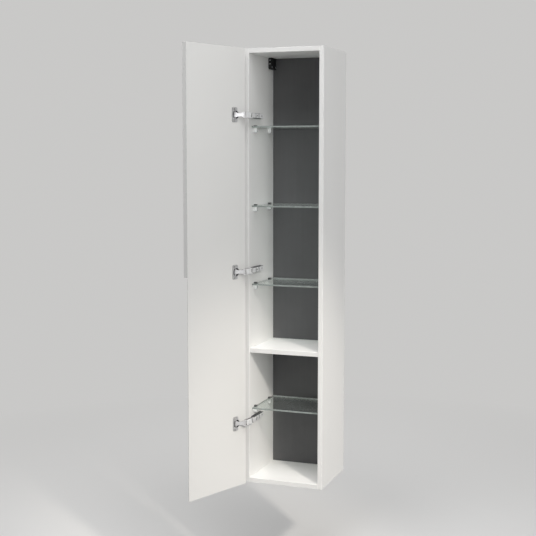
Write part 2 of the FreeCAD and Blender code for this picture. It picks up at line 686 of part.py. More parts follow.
def shelf_support(on_left, depth, height):
    """A clamp with a pin in the side panel, a block under the glass and a lip above it."""
    front = "front_y + %s - support_width / 2" % depth
    seat = height + " - pad_thickness"
    foot = seat + " - support_block"
    lip_low = height + " + glass_thickness + lip_gap"
    tall = "support_block + pad_thickness + glass_thickness + lip_gap + support_lip"
    pieces = []
    for far, low, rise in (("support_web", foot, tall), ("support_reach", foot, "support_block"),
                           ("lip_reach", lip_low, "support_lip")):
        start, width = inward(on_left, "0", far)
        pieces.append(box("support_box", (start, front, low), (width, "support_width", rise)))
    start, width = inward(on_left, "(-pin_depth)", "support_web")
    middle = "front_y + " + depth
    pieces.append(rod("support_pin", "pin_radius", width, (start, middle, height + " - pin_drop"), "X"))
    axis = "-half_inner + clamp_in" if on_left else "half_inner - clamp_in"
    hole = rod("clamp_hole", "clamp_radius + joint_slack", "support_block", (axis, middle, foot), "Z")
    return cut("support", fuse("support_body", pieces), [hole])


def support_pad(on_left, depth, height):
    start, width = inward(on_left, "support_web + pad_margin", "support_reach - pad_margin")
    front = "front_y + %s - support_width / 2 + pad_margin" % depth
    size = (width, "support_width - 2 * pad_margin", "pad_thickness")
    return box("support_pad", (start, front, height + " - pad_thickness"), size)


def clamp_screw(on_left, depth, height):
    axis = "-half_inner + clamp_in" if on_left else "half_inner - clamp_in"
    middle = "front_y + " + depth
    foot = height + " - pad_thickness - support_block"
    shank = rod("clamp_shank", "clamp_radius", "support_block", (axis, middle, foot), "Z")
    head_start = (axis, middle, foot + " - clamp_head")
    head = rod("clamp_head", "clamp_head_radius", "clamp_head", head_start, "Z")
    return fuse("clamp_screw", [shank, head])


def shelf_supports():
    pads = []
    screws = []
    for number, height in enumerate(glass_heights, start=1):
        supports = []
        for on_left in (True, False):
            for depth in ("support_front", "support_rear"):
                supports.append(shelf_support(on_left, depth, height))
                pads.append(support_pad(on_left, depth, height))
                screws.append(clamp_screw(on_left, depth, height))
        group("shelf_supports_%d" % number, supports)
    group("support_pads", pads)
    group("support_clamp_screws", screws)


# ---------------------------------------------------------------- hinges, cabinet side

def mounting_plate(number, height):
    """Local origin: side panel's inner face, carcass front, middle of the hinge."""
    body = new_body("mounting_plate_%d" % number)
    outline = new_sketch(body, "YZ_Plane")
    corners = [
        ("plate_start", "plate_corner - plate_half"),
        ("plate_start + plate_corner", "-plate_half"),
        ("plate_end - plate_corner", "-plate_half"),
        ("plate_end", "plate_corner - plate_half"),
        ("plate_end", "plate_half - plate_corner"),
        ("plate_end - plate_corner", "plate_half"),
        ("plate_start + plate_corner", "plate_half"),
        ("plate_start", "plate_half - plate_corner"),
    ]
    draw_polygon(outline, corners)
    pad(body, outline, "plate_base")
    rail = new_sketch(body, "YZ_Plane", "plate_base")
    start = "plate_start + plate_rail_inset"
    end = "plate_end - plate_rail_inset"
    draw_rectangle(rail, start, "-plate_rail_half", end, "plate_rail_half")
    pad(body, rail, "plate_rail")
    holes = [(y, "0", "plate_screw_radius + joint_slack") for y in ("plate_screw_front", "plate_screw_rear")]
    bore(body, "YZ_Plane", holes, "plate_top", True)
    place(body, "-half_inner", "front_y", height)
    return finish(body, "mounting_plate_%d" % number)


def hinge_arm(number, height):
    """A channel that clips over the plate; its nose carries the arm pin."""
    body = new_body("hinge_arm_%d" % number)
    outline = new_sketch(body, "XY_Plane")
    corners = [
        ("arm_throat", "arm_nose"),
        ("arm_height", "arm_nose"),
        ("arm_height", "arm_length"),
        ("plate_base", "arm_length"),
        ("plate_base", "plate_start"),
    ]
    draw_polygon(outline, corners)
    pad(body, outline, "2 * arm_half", both_ways=True)
    face = sizes_sheet.arm_height
    round_edges(body, "arm_bend", lambda edge: all_at(edge, 0, face) and spans(edge, 1) > 1)
    inside = new_sketch(body, "XY_Plane")
    draw_rectangle(inside, "0", "arm_nose - arm_wall", "arm_height - arm_wall", "arm_length + arm_wall")
    symmetric_pocket(body, inside, "2 * (arm_half - arm_wall)")
    eye = new_sketch(body, "XY_Plane")
    draw_circle(eye, "arm_pivot_out", "arm_pivot_in", "hinge_pin_radius + seat_slack")
    symmetric_pocket(body, eye, "2 * arm_half")
    radius = "hinge_adjuster_radius + joint_slack"
    holes = [(y, "0", radius) for y in ("side_adjuster_in", "depth_adjuster_in")]
    bore(body, "YZ_Plane", holes, "arm_wall", False, "arm_height")
    place(body, "-half_inner", "front_y", height)
    return finish(body, "hinge_arm_%d" % number)


def hinge_fasteners():
    """Screws and pins that all three hinges share, each kind in one node."""
    plate_screws = []
    adjusters = []
    arm_pins = []
    knee_pins = []
    cup_pins = []
    for height in hinge_heights:
        for y in ("plate_screw_front", "plate_screw_rear"):
            depth = "front_y + " + y
            start = ("-half_inner - plate_screw_bite", depth, height)
            shank = rod("plate_shank", "plate_screw_radius", "plate_screw_bite + plate_top", start, "X")
            top = ("-half_inner + plate_top", depth, height)
            head = rod("plate_head", "plate_screw_head", "plate_screw_rise", top, "X")
            plate_screws.append(fuse("plate_screw", [shank, head]))
        for y in ("side_adjuster_in", "depth_adjuster_in"):
            depth = "front_y + " + y
            start = ("-half_inner + plate_top", depth, height)
            shank = rod("adjuster_shank", "hinge_adjuster_radius", "arm_height - plate_top", start, "X")
            top = ("-half_inner + arm_height", depth, height)
            head = rod("adjuster_head", "hinge_adjuster_head", "hinge_adjuster_rise", top, "X")
            adjusters.append(fuse("hinge_adjuster", [shank, head]))
        low = height + " - link_outer"
        start = ("arm_pin_x", "arm_pin_y", low)
        arm_pins.append(rod("arm_pin", "hinge_pin_radius", "2 * link_outer", start, "Z"))
        start = ("knee_x", "knee_y", low)
        knee_pins.append(rod("knee_pin", "hinge_pin_radius", "2 * link_outer", start, "Z"))
        start = ("cup_pin_x", "cup_pin_y", height + " - cup_pin_half")
        cup_pins.append(rod("cup_pin", "hinge_pin_radius", "2 * cup_pin_half", start, "Z"))
    group("plate_screws", plate_screws)
    group("hinge_adjusting_screws", adjusters)
    group("hinge_arm_pins", arm_pins)
    group("hinge_knee_pins", knee_pins)
    group("hinge_cup_pins", cup_pins)


# ---------------------------------------------------------------- hinge links

def outer_link(number, height):
    """Two plates astride the arm, joined by a web. Local origin: arm pin, X to the knee."""
    pieces = []
    for low in ("link_inner", "-link_outer"):
        size = ("link_reach", "2 * link_eye", "link_plate")
        pieces.append(box("link_plate", ("0", "-link_eye", low), size))
        for x in ("0", "link_reach"):
            pieces.append(rod("link_eye_disc", "link_eye", "link_plate", (x, "0", low), "Z"))
    corner = ("link_web_start", "link_eye - link_web", "-link_outer")
    size = ("link_reach - link_web_start - link_web_end", "link_web", "2 * link_outer")
    pieces.append(box("link_web_plate", corner, size))
    start = ("0", "0", "-link_outer")
    turning = rod("arm_eye", "hinge_pin_radius + pivot_slack", "2 * link_outer", start, "Z")
    fixed = rod("knee_eye_hole", "hinge_pin_radius + seat_slack", "2 * link_outer",
                ("link_reach", "0", "-link_outer"), "Z")
    link = cut("outer_link_%d" % number, fuse("outer_link_body", pieces), [turning, fixed])
    place(link, "arm_pin_x", "arm_pin_y", height, "link_turn")
    return finish(link, "outer_link_%d" % number)


def inner_link(number, height):
    """A waisted bar from the cup pin to the knee pin. Local origin: cup pin, X to the knee."""
    body = new_body("inner_link_%d" % number)
    outline = new_sketch(body, "XZ_Plane")
    lower = [
        ("0", "-bar_wide"),
        ("bar_shoulder", "-bar_wide"),
        ("bar_shoulder + bar_taper", "-bar_waist"),
        ("bar_reach - bar_shoulder - bar_taper", "-bar_waist"),
        ("bar_reach - bar_shoulder", "-bar_wide"),
        ("bar_reach", "-bar_wide"),
    ]
    upper = [(x, z[1:]) for x, z in reversed(lower)]
    draw_polygon(outline, lower + upper)
    pad(body, outline, "2 * bar_half", both_ways=True)
    for x, eye in (("0", "bar_eye"), ("bar_reach", "knee_eye")):
        disc = new_sketch(body, "XY_Plane")
        draw_circle(disc, x, "0", eye)
        pad(body, disc, "2 * bar_wide", both_ways=True)
    for x in ("0", "bar_reach"):
        hole = new_sketch(body, "XY_Plane")
        draw_circle(hole, x, "0", "hinge_pin_radius + pivot_slack")
        symmetric_pocket(body, hole, "2 * bar_wide")
    place(body, "cup_pin_x", "cup_pin_y", height, "bar_turn")
    return finish(body, "inner_link_%d" % number)


# ---------------------------------------------------------------- door

# Door pieces are drawn as if it were closed: X from the hinge edge, Y = 0 the inner face.

def place_on_door(thing, height="end_reveal"):
    place(thing, "door_x", "door_y", height, "-open_angle")


def rib_corners(slack):
    """Corners of the grip strip's rib, square to the middle of the bevel."""
    half = "(rib_half + %s)" % slack
    deep = "(rib_depth + %s)" % slack
    x = "door_width - edge_bevel / 2"
    y = "-edge_flat - edge_bevel / 2"
    return [
        ("%s + %s" % (x, half), "%s + %s" % (y, half)),
        ("%s + %s - %s" % (x, half, deep), "%s + %s + %s" % (y, half, deep)),
        ("%s - %s - %s" % (x, half, deep), "%s - %s + %s" % (y, half, deep)),
        ("%s - %s" % (x, half), "%s - %s" % (y, half)),
    ]


def door_panel():
    body = new_body("door_panel")
    outline = new_sketch(body, "XY_Plane")
    corners = [
        ("0", "0"),
        ("door_width", "0"),
        ("door_width", "-edge_flat"),
        ("door_width - edge_bevel", "-door_thickness"),
        ("0", "-door_thickness"),
    ]
    draw_polygon(outline, corners)
    pad(body, outline, "door_height")
    centre = [("cup_centre", height + " - end_reveal", "cup_radius + cup_slack") for height in hinge_heights]
    bore(body, "XZ_Plane", centre, "cup_depth + cup_slack", True)
    screws = []
    for height in hinge_heights:
        for side in ("+", "-"):
            level = "%s - end_reveal %s cup_screw_spacing / 2" % (height, side)
            screws.append(("cup_centre + cup_screw_in", level, "cup_screw_radius + joint_slack"))
    bore(body, "XZ_Plane", screws, "cup_screw_length + end_gap", True)
    slot = new_sketch(body, "XY_Plane", "door_height")
    draw_polygon(slot, rib_corners("rib_slack"))
    pocket(body, slot, "handle_length")
    place_on_door(body)
    return finish(body, "door_panel")


def handle_strip():
    """Grip strip on the bevel: a foot along it, a wall at the edge, a lip to pull."""
    body = new_body("handle_strip")
    outline = new_sketch(body, "XY_Plane")
    front = "-door_thickness - handle_proud"
    rib = rib_corners("0")
    corners = [
        ("door_width", "-edge_flat"),
        ("door_width", front),
        ("door_width - handle_lip", front),
        ("door_width - handle_lip", front + " + handle_lip_wall"),
        ("door_width - handle_wall", front + " + handle_lip_wall"),
        ("door_width - handle_wall", "-edge_flat - foot_join - handle_foot"),
        ("door_width - handle_foot_end + handle_foot", "-edge_flat - handle_foot_end - handle_foot"),
        ("door_width - handle_foot_end", "-edge_flat - handle_foot_end"),
        rib[3],
        rib[2],
        rib[1],
        rib[0],
    ]
    draw_polygon(outline, corners)
    pad(body, outline, "handle_length")
    place_on_door(body, "end_reveal + door_height - handle_length")
    return finish(body, "handle_strip")


def hinge_cup(number, height):
    """Local origin: cup axis on the door's inner face. The cup sinks towards -Y."""
    body = new_body("hinge_cup_%d" % number)
    plate = new_sketch(body, "XZ_Plane")
    draw_rectangle(plate, "-flange_near", "-flange_height / 2", "flange_far", "flange_height / 2")
    pad(body, plate, "flange_thickness", backwards=True)
    round_edges(body, "flange_corner", lambda edge: spans(edge, 1) > 0.1)
    rim = new_sketch(body, "XZ_Plane")
    draw_circle(rim, "0", "0", "rim_radius")
    pad(body, rim, "flange_thickness", backwards=True)
    bowl = new_sketch(body, "XZ_Plane")
    draw_circle(bowl, "0", "0", "cup_radius")
    pad(body, bowl, "cup_depth")
    hollow = [("0", "0", "cup_radius - cup_wall")]
    bore(body, "XZ_Plane", hollow, "flange_thickness + cup_depth - cup_wall", True, "-flange_thickness")
    cheeks = new_sketch(body, "XZ_Plane", "cup_depth - cup_wall")
    pin_x = "cup_pivot_in - cup_centre"
    low, high = pin_x + " - cheek_half", pin_x + " + cheek_half"
    draw_rectangle(cheeks, low, "link_inner", high, "cheek_outer")
    draw_rectangle(cheeks, low, "-cheek_outer", high, "-link_inner")
    pad(body, cheeks, "cup_depth - cup_wall - cheek_top", backwards=True)
    eye = new_sketch(body, "XY_Plane")
    draw_circle(eye, pin_x, "-cup_pivot_depth", "hinge_pin_radius + seat_slack")
    symmetric_pocket(body, eye, "2 * cup_pin_half")
    radius = "cup_screw_radius + joint_slack"
    holes = [("cup_screw_in", side + "cup_screw_spacing / 2", radius) for side in ("", "-")]
    bore(body, "XZ_Plane", holes, "flange_thickness", True, "-flange_thickness")
    x = "door_x + cup_centre * cos(open_angle)"
    y = "door_y - cup_centre * sin(open_angle)"
    place(body, x, y, height, "-open_angle")
    return finish(body, "hinge_cup_%d" % number)


def cup_screws():
    screws = []
    for height in hinge_heights:
        for side in ("+", "-"):
            x = "cup_centre + cup_screw_in"
            level = "%s - end_reveal %s cup_screw_spacing / 2" % (height, side)
            long = "cup_screw_length + flange_thickness"
            shank = rod("cup_shank", "cup_screw_radius", long, (x, "-cup_screw_length", level), "Y")
            head = rod("cup_head", "cup_screw_head", "cup_screw_rise", (x, "flange_thickness", level), "Y")
            screws.append(fuse("cup_screw", [shank, head]))
    place_on_door(group("cup_screws", screws))


# ---------------------------------------------------------------- the whole cabinet

side_panel("left_side_panel", True)
side_panel("right_side_panel", False)
cross_board("top_panel", "cabinet_depth", True, "ceiling", "0")
cross_board("bottom_panel", "cabinet_depth", False, "board", "0")
cross_board("fixed_shelf", "fixed_shelf_depth", False, "fixed_shelf_top", "fixed_shelf_setback")
back_board()
joinery()
for shelf_number, shelf_height in enumerate(glass_heights, start=1):
    glass_shelf(shelf_number, shelf_height)
shelf_supports()
wall_rail()
hanger("left_wall_hanger", True)
hanger("right_wall_hanger", False)
group("hanger_hooks", [hanger_hook("left_hook", True), hanger_hook("right_hook", False)])
hanger_screws()
for hinge_number, hinge_height in enumerate(hinge_heights, start=1):
    mounting_plate(hinge_number, hinge_height)
    hinge_arm(hinge_number, hinge_height)
    outer_link(hinge_number, hinge_height)
    inner_link(hinge_number, hinge_height)
    hinge_cup(hinge_number, hinge_height)
hinge_fasteners()
door_panel()
handle_strip()
cup_screws()
doc.recompute()


# ---------------------------------------------------------------- check and write

for item in doc.Objects:
    if "Invalid" in item.State or "Error" in item.State:
        raise RuntimeError("%s failed: %s" % (item.Label, item.State))
os.makedirs("parts", exist_ok=True)
for piece in finished:
    if piece.Shape.isNull() or not piece.Shape.isValid():
        raise RuntimeError("%s has no valid shape" % piece.Label)
for piece in finished:
    piece.Shape.exportStep("parts/%s.step" % piece.Label)
    print("%-26s solids %2d  volume %12.1f" % (piece.Label, len(piece.Shape.Solids), piece.Shape.Volume))
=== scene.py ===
import bpy
import bmesh
import json
import math
from mathutils import Matrix, Vector


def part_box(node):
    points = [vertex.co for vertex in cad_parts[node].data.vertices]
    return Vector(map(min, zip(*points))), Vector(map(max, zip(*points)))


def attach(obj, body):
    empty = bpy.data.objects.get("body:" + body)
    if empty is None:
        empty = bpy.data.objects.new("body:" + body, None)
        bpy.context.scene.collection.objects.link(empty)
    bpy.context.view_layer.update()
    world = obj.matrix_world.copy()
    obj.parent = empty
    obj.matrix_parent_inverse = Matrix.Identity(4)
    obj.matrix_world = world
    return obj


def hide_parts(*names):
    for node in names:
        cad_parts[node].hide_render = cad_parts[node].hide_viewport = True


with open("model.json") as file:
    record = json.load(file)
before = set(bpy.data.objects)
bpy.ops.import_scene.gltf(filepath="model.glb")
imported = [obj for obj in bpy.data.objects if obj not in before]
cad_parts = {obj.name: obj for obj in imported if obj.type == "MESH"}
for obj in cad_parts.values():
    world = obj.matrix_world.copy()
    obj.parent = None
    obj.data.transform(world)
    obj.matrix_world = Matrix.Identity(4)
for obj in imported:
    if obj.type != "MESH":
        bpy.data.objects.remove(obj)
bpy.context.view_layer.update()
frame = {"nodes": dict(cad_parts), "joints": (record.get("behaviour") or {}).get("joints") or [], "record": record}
nodes = frame["nodes"]


# the photograph's viewpoint: metres, degrees, and millimetres for the lens
viewPoint = {
    "place": (1.4534, -4.3801, 1.3316),
    "pitch": 84.183,
    "turn": 20.44,
    "lens": 73.14,
    "sensor": 36.0,
}


def makeCamera():
    data = bpy.data.cameras.new("viewCamera")
    data.lens = viewPoint["lens"]
    data.sensor_width = viewPoint["sensor"]
    camera = bpy.data.objects.new("viewCamera", data)
    bpy.context.scene.collection.objects.link(camera)
    camera.location = viewPoint["place"]
    camera.rotation_euler = (math.radians(viewPoint["pitch"]), 0.0, math.radians(viewPoint["turn"]))
    bpy.context.scene.camera = camera
    print("camera set")


studio = {
    "floorHeight": -0.42,
    "floorSize": 14.0,
    "floorPaint": (0.76, 0.755, 0.746),
    "floorRoughness": 0.9,
    "floorFade": (1.2, 3.4),  # distances between which the floor runs into the backdrop
    "floorLift": 0.045,  # glow added to the floor where it is seen
    "backdrop": (0.585, 0.581, 0.573),
    "worldColour": (0.97, 0.985, 1.0),
    "worldLight": 0.15,
    "lamps": [
        # name, place, aim, size, watts
        ("overheadBox", (0.5, -2.3, 4.7), (0.0, -0.2, 0.9), 2.8, 152.0),
        ("sideBox", (2.9, -3.1, 2.2), (0.0, -0.2, 0.9), 2.2, 55.0),
        ("rearLamp", (-1.2, 3.4, 2.6), (0.0, 0.0, 0.9), 2.4, 46.0),
        ("leftFill", (-3.7, 0.2, 2.0), (0.0, -0.2, 0.9), 2.4, 17.0),
    ],
    # the warm light that falls in from the front right onto the lower half
    "lowBeam": {
        "place": (2.65, -2.95, 2.85),
        "aim": (0.0, -0.3, 0.12),
        "size": 0.16,
        "watts": 430.0,
        "cone": 20.0,
        "blend": 0.9,
        "colour": (1.0, 0.935, 0.85),
    },
}


def seenRays(tree):
    # 1 for rays that should meet the pale background: from the camera, off gloss and through glass
    path = tree.nodes.new("ShaderNodeLightPath")
    seen = path.outputs["Is Camera Ray"]
    for kind in ("Is Glossy Ray", "Is Transmission Ray"):
        either = tree.nodes.new("ShaderNodeMath")
        either.operation = "MAXIMUM"
        tree.links.new(seen, either.inputs[0])
        tree.links.new(path.outputs[kind], either.inputs[1])
        seen = either.outputs[0]
    return seen


def hangLamp(name, kind, place, aim, watts):
    lamp = bpy.data.lights.new(name, kind)
    lamp.energy = watts
    holder = bpy.data.objects.new(name, lamp)
    bpy.context.scene.collection.objects.link(holder)
    holder.location = place
    holder.rotation_euler = (Vector(aim) - Vector(place)).to_track_quat("-Z", "Y").to_euler()
    return lamp


def makeStudio():
    # the world lights the object softly, and shows the backdrop's grey where it is seen itself
    scene = bpy.context.scene
    scene.view_settings.view_transform = "Standard"
    world = bpy.data.worlds.new("softRoom")
    scene.world = world
    world.use_nodes = True
    tree = world.node_tree
    tree.nodes.clear()
    lighting = tree.nodes.new("ShaderNodeBackground")
    lighting.inputs["Color"].default_value = (*studio["worldColour"], 1.0)
    lighting.inputs["Strength"].default_value = studio["worldLight"]
    backdrop = tree.nodes.new("ShaderNodeBackground")
    backdrop.inputs["Color"].default_value = (*studio["backdrop"], 1.0)
    output = tree.nodes.new("ShaderNodeOutputWorld")
    chosen = mixShaders(tree, seenRays(tree), lighting.outputs[0], backdrop.outputs[0])
    tree.links.new(chosen, output.inputs["Surface"])
    for name, place, aim, size, watts in studio["lamps"]:
        box = hangLamp(name, "AREA", place, aim, watts)
        box.shape = "DISK"
        box.size = size
    beam = studio["lowBeam"]
    spot = hangLamp("lowBeam", "SPOT", beam["place"], beam["aim"], beam["watts"])
    spot.color = beam["colour"]
    spot.shadow_soft_size = beam["size"]
    spot.spot_size = math.radians(beam["cone"])
    spot.spot_blend = beam["blend"]
    print("studio: world and", len(studio["lamps"]) + 1, "lamps")


def makeFloor():
    # near by it shows its paint and the object's shadow, a little lifted where it is seen,
    # and far out the backdrop's grey
    bm = bmesh.new()
    bmesh.ops.create_grid(bm, x_segments=1, y_segments=1, size=studio["floorSize"] / 2)
    bmesh.ops.translate(bm, vec=(0.0, 0.0, studio["floorHeight"]), verts=bm.verts)
    mesh = bpy.data.meshes.new("paleFloor")
    bm.to_mesh(mesh)
    bm.free()
    paint, roughness = studio["floorPaint"], studio["floorRoughness"]
    material, tree, shader = newMaterial("floorPaint", paint, roughness)
    place = tree.nodes.new("ShaderNodeTexCoord")
    reach = tree.nodes.new("ShaderNodeVectorMath")
    reach.operation = "LENGTH"
    tree.links.new(place.outputs["Object"], reach.inputs[0])
    glow = tree.nodes.new("ShaderNodeEmission")
    lift = tree.nodes.new("ShaderNodeEmission")
    for light in (glow, lift):
        light.inputs["Color"].default_value = (*studio["backdrop"], 1.0)
    strength = studio["floorLift"] / studio["backdrop"][0]
    liftSeen = ramp(tree, seenRays(tree), 0.0, strength, lowAt=0.0, highAt=1.0)
    tree.links.new(liftSeen, lift.inputs["Strength"])
    lifted = tree.nodes.new("ShaderNodeAddShader")
    tree.links.new(shader.outputs[0], lifted.inputs[0])
    tree.links.new(lift.outputs[0], lifted.inputs[1])
    near, far = studio["floorFade"]
    fade = ramp(tree, reach.outputs["Value"], 0.0, 1.0, lowAt=near, highAt=far)
    faded = mixShaders(tree, fade, lifted.outputs[0], glow.outputs[0])
    tree.links.new(faded, tree.nodes["Material Output"].inputs["Surface"])
    mesh.materials.append(material)
    floor = bpy.data.objects.new("paleFloor", mesh)
    bpy.context.scene.collection.objects.link(floor)
    print("floor laid")


# materials: every pattern reads Object coordinates, in metres

def newMaterial(name, colour, roughness, metallic=0.0):
    material = bpy.data.materials.new(name)
    material.use_nodes = True
    shader = material.node_tree.nodes["Principled BSDF"]
    shader.inputs["Base Color"].default_value = (*colour, 1.0)
    shader.inputs["Roughness"].default_value = roughness
    shader.inputs["Metallic"].default_value = metallic
    return material, material.node_tree, shader


def noise(tree, scale, detail, stretch=(1.0, 1.0, 1.0)):
    place = tree.nodes.new("ShaderNodeTexCoord")
    mapping = tree.nodes.new("ShaderNodeMapping")
    mapping.inputs["Scale"].default_value = stretch
    texture = tree.nodes.new("ShaderNodeTexNoise")
    texture.inputs["Scale"].default_value = scale
    texture.inputs["Detail"].default_value = detail
    tree.links.new(place.outputs["Object"], mapping.inputs["Vector"])
    tree.links.new(mapping.outputs["Vector"], texture.inputs["Vector"])
    return texture.outputs["Fac"]


def ramp(tree, value, low, high, lowAt=0.3, highAt=0.7):
    # low where the value is lowAt or less, high where it is highAt or more
    scale = tree.nodes.new("ShaderNodeMapRange")
    scale.inputs["From Min"].default_value = lowAt
    scale.inputs["From Max"].default_value = highAt
    scale.inputs["To Min"].default_value = low
    scale.inputs["To Max"].default_value = high
    tree.links.new(value, scale.inputs["Value"])
    return scale.outputs["Result"]


def blendColours(tree, value, first, second):
    mix = tree.nodes.new("ShaderNodeMix")
    mix.data_type = "RGBA"
    mix.inputs["A"].default_value = (*first, 1.0)
    mix.inputs["B"].default_value = (*second, 1.0)
    tree.links.new(value, mix.inputs["Factor"])
    return mix.outputs["Result"]


def mixShaders(tree, share, first, second):
    mix = tree.nodes.new("ShaderNodeMixShader")
    for source, socket in zip((share, first, second), mix.inputs):
        tree.links.new(source, socket)
    return mix.outputs[0]


def scaled(colour, factor):
    return tuple(value * factor for value in colour)


def tintBy(tree, shader, pattern, first, second):
    # the base colour wanders from the first colour to the second with the pattern
    tint = blendColours(tree, ramp(tree, pattern, 0.0, 1.0), first, second)
    tree.links.new(tint, shader.inputs["Base Color"])


def roughBy(tree, shader, pattern, roughness, less, more):
    # the roughness wanders round its own value with the pattern
    wander = ramp(tree, pattern, roughness - less, roughness + more)
    tree.links.new(wander, shader.inputs["Roughness"])


def addBump(tree, shader, height, strength, distance):
    bump = tree.nodes.new("ShaderNodeBump")
    bump.inputs["Strength"].default_value = strength
    bump.inputs["Distance"].default_value = distance
    tree.links.new(height, bump.inputs["Height"])
    tree.links.new(bump.outputs["Normal"], shader.inputs["Normal"])


def boardLacquer(name, colour, roughness=0.38, peel=0.05):
    material, tree, shader = newMaterial(name, colour, roughness)
    warmer = scaled(colour, factor=0.985)
    tintBy(tree, shader, noise(tree, scale=3.0, detail=2.0), colour, warmer)
    roughBy(tree, shader, noise(tree, scale=26.0, detail=4.0), roughness, less=0.05, more=0.06)
    addBump(tree, shader, noise(tree, scale=420.0, detail=2.0), strength=peel, distance=0.0002)
    return material


def darkBoard(name, colour, roughness=0.62):
    material, tree, shader = newMaterial(name, colour, roughness)
    lighter = scaled(colour, factor=1.07)
    grain = noise(tree, scale=60.0, detail=5.0, stretch=(1.0, 1.0, 0.06))
    tintBy(tree, shader, grain, colour, lighter)
    roughBy(tree, shader, noise(tree, scale=18.0, detail=3.0), roughness, less=0.07, more=0.06)
    addBump(tree, shader, noise(tree, scale=700.0, detail=3.0), strength=0.12, distance=0.0002)
    return material


pane = {
    "clear": (0.962, 0.985, 0.975),
    "mirror": (0.95, 0.97, 0.96),
    "mirrorRoughness": (0.0, 0.012),
    "straightOn": 0.04,  # share that is mirrored where the pane is looked at straight on
    "steepness": 5.0,
    "haze": (0.80, 0.84, 0.82),
    "hazeShare": (0.014, 0.022),
}


def clearGlass(name):
    # a flat pane: it mirrors more the flatter it is looked along, and lets the rest through unbent
    material = bpy.data.materials.new(name)
    material.use_nodes = True
    tree = material.node_tree
    tree.nodes.remove(tree.nodes["Principled BSDF"])
    clear = tree.nodes.new("ShaderNodeBsdfTransparent")
    mirror = tree.nodes.new("ShaderNodeBsdfAnisotropic")
    haze = tree.nodes.new("ShaderNodeBsdfDiffuse")
    for layer, part in ((clear, "clear"), (mirror, "mirror"), (haze, "haze")):
        layer.inputs["Color"].default_value = (*pane[part], 1.0)
    smear = ramp(tree, noise(tree, scale=5.0, detail=3.0), *pane["mirrorRoughness"])
    tree.links.new(smear, mirror.inputs["Roughness"])
    slant = tree.nodes.new("ShaderNodeLayerWeight")
    slant.inputs["Blend"].default_value = 0.5
    steep = tree.nodes.new("ShaderNodeMath")
    steep.operation = "POWER"
    steep.inputs[1].default_value = pane["steepness"]
    tree.links.new(slant.outputs["Facing"], steep.inputs[0])
    share = ramp(tree, steep.outputs[0], pane["straightOn"], 1.0, lowAt=0.0, highAt=1.0)
    clean = mixShaders(tree, share, clear.outputs[0], mirror.outputs[0])
    dust = ramp(tree, noise(tree, scale=7.0, detail=3.0), *pane["hazeShare"])
    dusty = mixShaders(tree, dust, clean, haze.outputs[0])
    tree.links.new(dusty, tree.nodes["Material Output"].inputs["Surface"])
    return material


def groundEdge(name, colour, roughness=0.25):
    # a cut edge of the glass, ground and greenish
    material, tree, shader = newMaterial(name, colour, roughness)
    darker = scaled(colour, factor=0.80)
    streak = noise(tree, scale=60.0, detail=3.0, stretch=(1.0, 1.0, 6.0))
    tintBy(tree, shader, streak, darker, colour)
    roughBy(tree, shader, streak, roughness, less=0.07, more=0.09)
    shader.inputs["IOR"].default_value = 1.5
    return material


def metal(name, colour, roughness, spread=0.06, bump=0.04, metallic=1.0):
    material, tree, shader = newMaterial(name, colour, roughness, metallic)
    darker = scaled(colour, factor=0.86)
    smudge = noise(tree, scale=55.0, detail=5.0)
    tintBy(tree, shader, smudge, colour, darker)
    roughBy(tree, shader, smudge, roughness, less=spread, more=spread)
    addBump(tree, shader, noise(tree, scale=900.0, detail=3.0), strength=bump, distance=0.0001)
    return material


def mouldedPlastic(name, colour, roughness, gloss=0.5):
    material, tree, shader = newMaterial(name, colour, roughness)
    shader.inputs["Specular IOR Level"].default_value = gloss
    roughBy(tree, shader, noise(tree, scale=40.0, detail=4.0), roughness, less=0.06, more=0.08)
    addBump(tree, shader, noise(tree, scale=1400.0, detail=2.0), strength=0.25, distance=0.0001)
    return material


spangle = {
    "colour": (0.66, 0.67, 0.68),
    "dull": (0.56, 0.57, 0.58),
    "bright": (0.74, 0.75, 0.76),
    "roughness": 0.36,
    "roughnessSpan": (0.28, 0.46),
    "cellScale": 90.0,
}


def spangledSteel(name):
    colour, roughness = spangle["colour"], spangle["roughness"]
    material, tree, shader = newMaterial(name, colour, roughness, metallic=1.0)
    place = tree.nodes.new("ShaderNodeTexCoord")
    cells = tree.nodes.new("ShaderNodeTexVoronoi")
    cells.inputs["Scale"].default_value = spangle["cellScale"]
    tree.links.new(place.outputs["Object"], cells.inputs["Vector"])
    split = tree.nodes.new("ShaderNodeSeparateColor")
    tree.links.new(cells.outputs["Color"], split.inputs["Color"])
    flake = ramp(tree, split.outputs[0], 0.0, 1.0, lowAt=0.0, highAt=1.0)
    tint = blendColours(tree, flake, spangle["dull"], spangle["bright"])
    tree.links.new(tint, shader.inputs["Base Color"])
    rough = ramp(tree, split.outputs[1], *spangle["roughnessSpan"], lowAt=0.0, highAt=1.0)
    tree.links.new(rough, shader.inputs["Roughness"])
    return material


def beech(name):
    material, tree, shader = newMaterial(name, (0.60, 0.42, 0.25), roughness=0.6)
    palest, darkest = (0.64, 0.46, 0.28), (0.48, 0.32, 0.18)
    grain = noise(tree, scale=240.0, detail=4.0, stretch=(0.08, 1.0, 1.0))
    tintBy(tree, shader, grain, palest, darkest)
    addBump(tree, shader, grain, strength=0.2, distance=0.0002)
    return material


